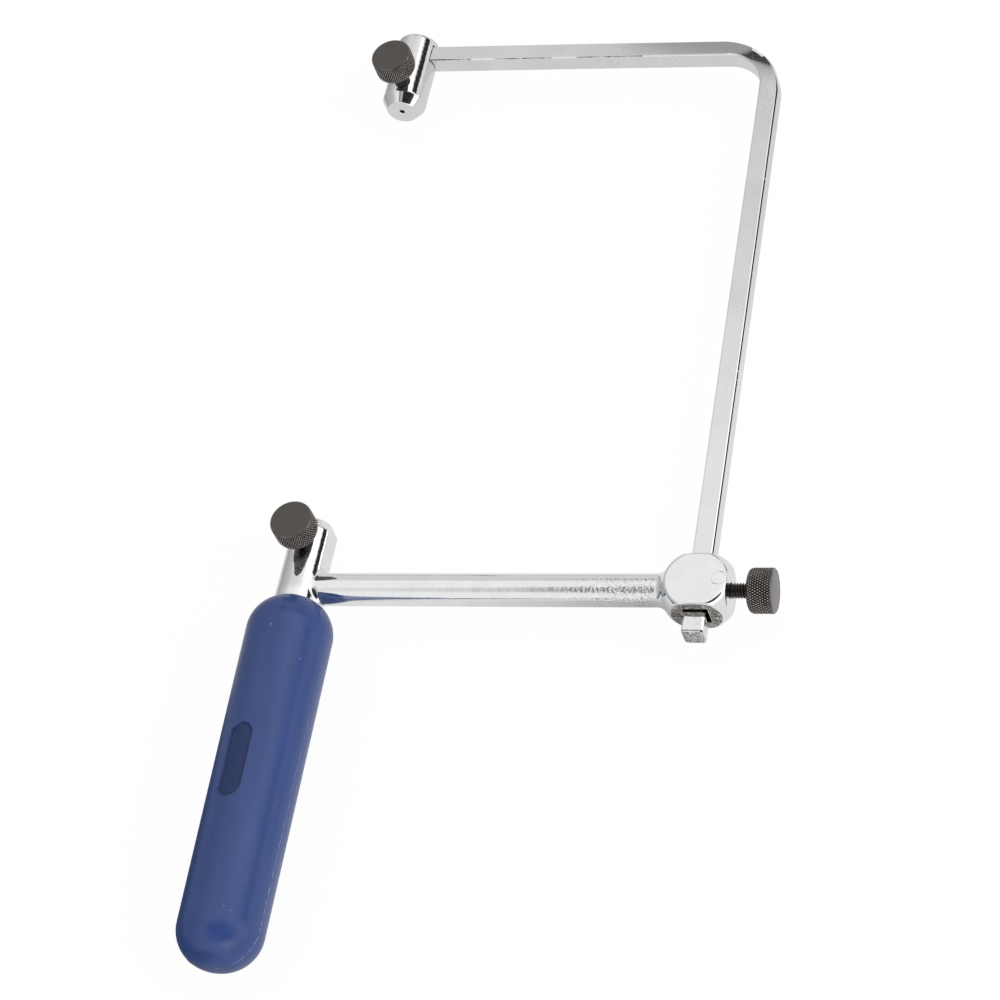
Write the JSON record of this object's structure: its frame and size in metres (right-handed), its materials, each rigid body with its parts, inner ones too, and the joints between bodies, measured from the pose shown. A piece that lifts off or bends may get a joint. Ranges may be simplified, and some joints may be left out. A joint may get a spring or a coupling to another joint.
{
  "type": "adjustable fret saw frame",
  "caption": "Adjustable fret saw frame: plastic handle, cast arm and boss, a bent square bar that slides and locks, and a screw clamp for each end of a plain-ended blade.",
  "frame": {"origin": "middle of the lower blade hole's mouth, on the end of the post", "axes": "+Y along the blade, from the handle to the upper clamp; +X along the arm, from the blade to the back bar; +Z out of the side that carries the two blade screws"},
  "size_m": [0.1365, 0.2911, 0.0288],
  "materials": {
    "chromed_casting": "bright plate on a casting",
    "handle_plastic": "blue, satin, with fine scuffs",
    "plated_bar": "satin nickel plate",
    "chromed_head": "bright plate on a turned piece",
    "dark_screw": "blackened steel, slightly brown",
    "pad_steel": "plain steel"
  },
  "bodies": {
    "frame": {"lower_frame": "chromed_casting", "handle": "handle_plastic"},
    "bar": {"back_bar": "plated_bar", "upper_clamp_head": "chromed_head"},
    "lower_pad": {"lower_blade_pad": "pad_steel"},
    "lower_screw": {"lower_blade_screw": "dark_screw"},
    "upper_pad": {"upper_blade_pad": "pad_steel"},
    "upper_screw": {"upper_blade_screw": "dark_screw"},
    "lock_pad": {"frame_lock_pad": "pad_steel"},
    "lock_screw": {"frame_lock_screw": "dark_screw"}
  },
  "joints": [
    {"name": "bar_slide", "type": "slide", "parent": "frame", "child": "bar", "axis": [0, 1, 0], "range_m": [-0.138, 0.008]},
    {"name": "lower_pad_slide", "type": "slide", "parent": "frame", "child": "lower_pad", "axis": [0, 0, 1], "range_m": [-0.00142, 0.00352]},
    {"name": "lower_screw_turn", "type": "hinge", "parent": "lower_pad", "child": "lower_screw", "pos_m": [0, -0.007, 0.0017], "axis": [0, 0, 1], "range_deg": [-720, 1800]},
    {"name": "upper_pad_slide", "type": "slide", "parent": "bar", "child": "upper_pad", "axis": [0, 0, 1], "range_m": [-0.0045, 0.00072]},
    {"name": "upper_screw_turn", "type": "hinge", "parent": "upper_pad", "child": "upper_screw", "pos_m": [0, 0.1457, 0.00475], "axis": [0, 0, 1], "range_deg": [-2304, 360]},
    {"name": "lock_pad_slide", "type": "slide", "parent": "frame", "child": "lock_pad", "axis": [1, 0, 0], "range_m": [-0.00001, 0.00352]},
    {"name": "lock_screw_turn", "type": "hinge", "parent": "lock_pad", "child": "lock_screw", "pos_m": [0.1099, -0.0193, 0], "axis": [1, 0, 0], "range_deg": [0, 1800]}
  ],
  "couplings": [
    {"joint": "lower_pad_slide", "follows": "lower_screw_turn", "m_per_rad": 0.00011141},
    {"joint": "upper_pad_slide", "follows": "upper_screw_turn", "m_per_rad": 0.00011141},
    {"joint": "lock_pad_slide", "follows": "lock_screw_turn", "m_per_rad": 0.00011141}
  ]
}
